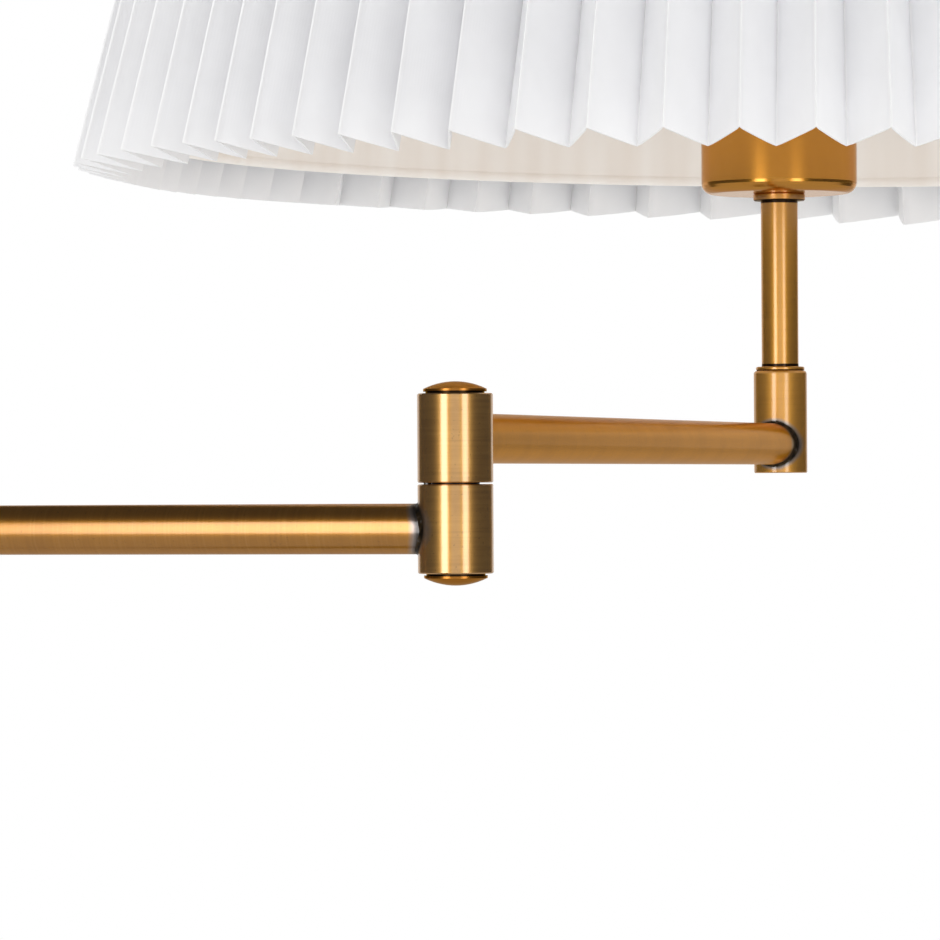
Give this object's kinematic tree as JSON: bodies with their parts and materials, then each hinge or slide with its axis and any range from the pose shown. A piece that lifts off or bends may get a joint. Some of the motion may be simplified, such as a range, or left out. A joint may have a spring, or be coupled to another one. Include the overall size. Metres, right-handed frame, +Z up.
{
  "type": "bridge floor lamp",
  "caption": "Floor lamp with a weighted round foot, a slim pole, two hollow arms that swing level on stacked-barrel knuckles, and a large pleated shade on a harp.",
  "frame": {"origin": "middle of the foot's underside, where the pole's axis meets the floor", "axes": "+Z up along the pole; at rest the lower arm heads 17 degrees from +X towards -Y, and the cord leaves the foot towards -X"},
  "size_m": [0.7833, 0.5781, 1.4887],
  "materials": {
    "brass": "antique, brushed round",
    "brass_dull": "darkened by heat",
    "steel": "zinc plated",
    "iron": "as cast",
    "felt": "felt",
    "dark_plastic": "moulded",
    "flex": "smooth sheath",
    "card": "pressed",
    "pleat_cloth": "fine weave, pleated",
    "liner_cloth": "smooth laminate"
  },
  "bodies": {
    "stand": {"base_felt": "felt", "base_weight": "iron", "base_shell": "brass", "base_nipple": "steel", "base_washer": "steel", "base_nut": "steel", "foot_collar": "brass", "cord_bush": "dark_plastic", "pole_lower": "brass", "pole_middle": "brass", "pole_upper": "brass", "pole_couplers": "brass_dull", "stand_flex": "flex", "shoulder_socket": "brass", "shoulder_stud": "steel", "shoulder_nuts": "brass_dull", "shoulder_wave_washer": "steel", "shoulder_seam_washer": "dark_plastic", "shoulder_stop_pin": "steel"},
    "lower_arm": {"shoulder_barrel": "brass", "shoulder_cap": "brass", "lower_arm_tube": "brass", "lower_arm_braze": "brass_dull", "lower_arm_flex": "flex", "elbow_lower_barrel": "brass", "elbow_bottom_cap": "brass", "elbow_stud": "steel", "elbow_nuts": "brass_dull", "elbow_wave_washer": "steel", "elbow_seam_washer": "dark_plastic", "elbow_stop_pin": "steel"},
    "forearm": {"elbow_upper_barrel": "brass", "elbow_top_cap": "brass", "forearm_tube": "brass", "forearm_braze": "brass_dull", "forearm_flex": "flex", "wrist_barrel": "brass", "wrist_plug": "brass", "wrist_washer": "brass", "stem_tube": "brass", "stem_nipple": "steel", "cup_flange": "brass", "cup": "brass", "cup_nut": "steel", "harp_saddle": "brass_dull", "harp_ferrules": "brass", "harp": "brass", "holder_cap": "brass_dull", "holder_core": "dark_plastic", "holder_sleeve": "card", "holder_shell": "brass", "screw_shell": "brass_dull", "centre_contact": "brass", "shade_spider": "steel", "shade_bottom_ring": "pleat_cloth", "shade_liner": "liner_cloth", "shade_cover": "pleat_cloth", "finial": "brass"}
  },
  "joints": [
    {"name": "shoulder_swing", "type": "hinge", "parent": "stand", "child": "lower_arm", "pos_m": [0, 0, 1.1015], "axis": [0, 0, 1], "range_deg": [-165, 165]},
    {"name": "elbow_swing", "type": "hinge", "parent": "lower_arm", "child": "forearm", "pos_m": [0.31558, -0.09648, 1.1254], "axis": [0, 0, 1], "range_deg": [-253, 77]}
  ]
}
